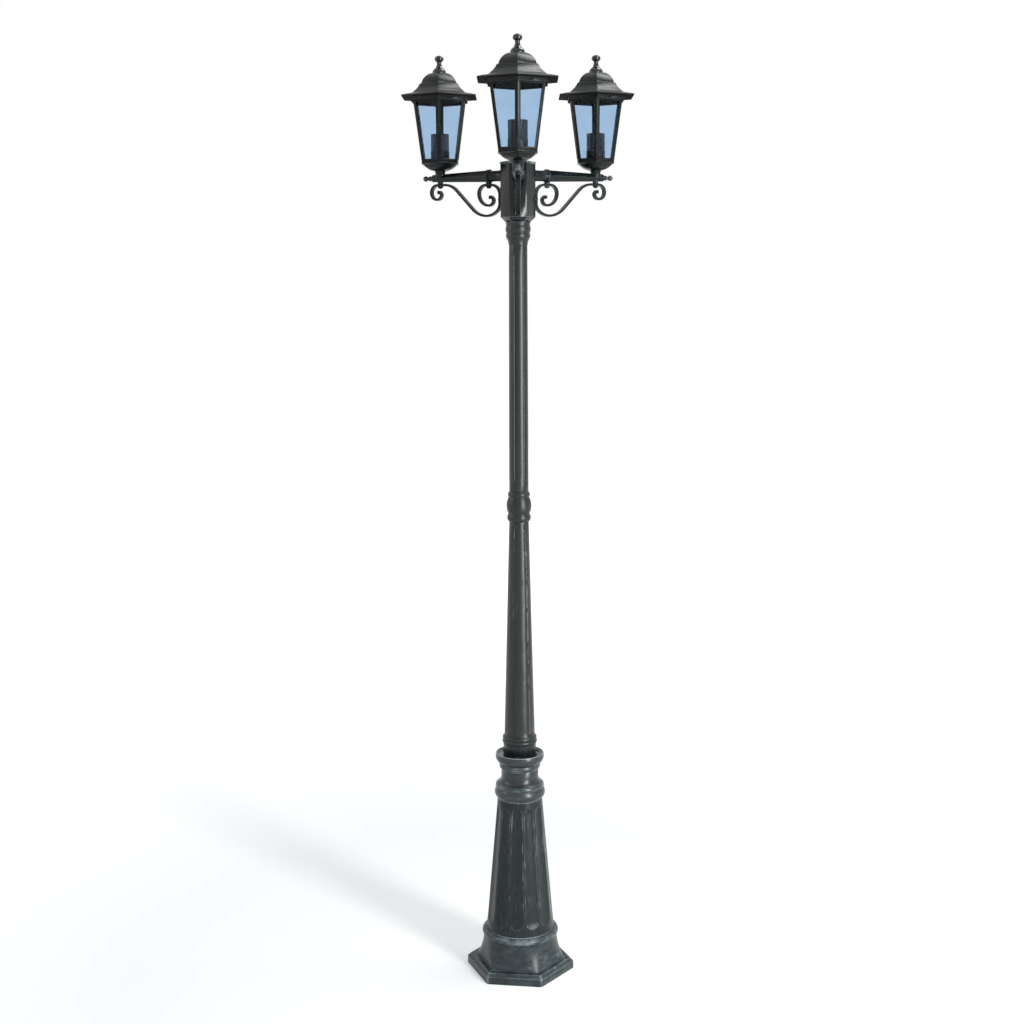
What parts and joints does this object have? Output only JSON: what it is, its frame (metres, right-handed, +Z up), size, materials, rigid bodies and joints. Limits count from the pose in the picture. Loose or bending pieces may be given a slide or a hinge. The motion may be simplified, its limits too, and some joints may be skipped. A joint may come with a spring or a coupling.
{
  "type": "three-lantern garden lamp post",
  "caption": "Tall fluted garden lamp post with a six-sided foot, turned collars, a hub with curled scroll brackets and six-sided lanterns on arms, each with a lift-off roof and a lamp socket.",
  "frame": {"origin": "centre of the anchor bolt circle, on the ground under the foot", "axes": "+Z up along the post; -Y from the post towards the front lantern, which faces the camera in the picture; +X to the viewer's right"},
  "size_m": [0.5628, 0.5393, 2.3],
  "materials": {
    "cast_paint": "brushed grey over charcoal paint, satin",
    "clear_pane": "clear, faint blue",
    "plated_steel": "zinc plated",
    "holder_plastic": "moulded, matt",
    "skirt_plastic": "moulded, half gloss",
    "contact_brass": "bright"
  },
  "bodies": {
    "post": {"foot": "cast_paint", "foot_bridge": "plated_steel", "pedestal": "cast_paint", "neck_collar": "cast_paint", "cup_collar": "cast_paint", "cup_screws": "plated_steel", "lower_shaft": "cast_paint", "knop": "cast_paint", "upper_shaft": "cast_paint", "top_collar": "cast_paint", "hub": "cast_paint", "hub_cap": "cast_paint", "tie_rod": "plated_steel", "tie_nuts": "plated_steel", "arm_front": "cast_paint", "arm_tip_front": "cast_paint", "scroll_front": "cast_paint", "arm_right": "cast_paint", "arm_tip_right": "cast_paint", "scroll_right": "cast_paint", "arm_left": "cast_paint", "arm_tip_left": "cast_paint", "scroll_left": "cast_paint", "arm_nuts": "plated_steel", "scroll_bolts": "cast_paint", "scroll_screws": "plated_steel", "stem_nipples": "plated_steel", "stem_nuts": "plated_steel", "lantern_base_front": "cast_paint", "lantern_cage_front": "cast_paint", "lantern_panes_front": "clear_pane", "holder_base_front": "holder_plastic", "holder_skirt_front": "skirt_plastic", "lamp_contacts_front": "contact_brass", "lantern_base_right": "cast_paint", "lantern_cage_right": "cast_paint", "lantern_panes_right": "clear_pane", "holder_base_right": "holder_plastic", "holder_skirt_right": "skirt_plastic", "lamp_contacts_right": "contact_brass", "lantern_base_left": "cast_paint", "lantern_cage_left": "cast_paint", "lantern_panes_left": "clear_pane", "holder_base_left": "holder_plastic", "holder_skirt_left": "skirt_plastic", "lamp_contacts_left": "contact_brass"},
    "roof_body_front": {"roof_front": "cast_paint", "roof_screws_front": "plated_steel", "finial_front": "cast_paint", "finial_nut_front": "plated_steel"},
    "roof_body_right": {"roof_right": "cast_paint", "roof_screws_right": "plated_steel", "finial_right": "cast_paint", "finial_nut_right": "plated_steel"},
    "roof_body_left": {"roof_left": "cast_paint", "roof_screws_left": "plated_steel", "finial_left": "cast_paint", "finial_nut_left": "plated_steel"}
  },
  "joints": [
    {"name": "roof_front_lift", "type": "slide", "parent": "post", "child": "roof_body_front", "axis": [0, 0, 1], "range_m": [0, 0.12]},
    {"name": "roof_right_lift", "type": "slide", "parent": "post", "child": "roof_body_right", "axis": [0, 0, 1], "range_m": [0, 0.12]},
    {"name": "roof_left_lift", "type": "slide", "parent": "post", "child": "roof_body_left", "axis": [0, 0, 1], "range_m": [0, 0.12]}
  ]
}
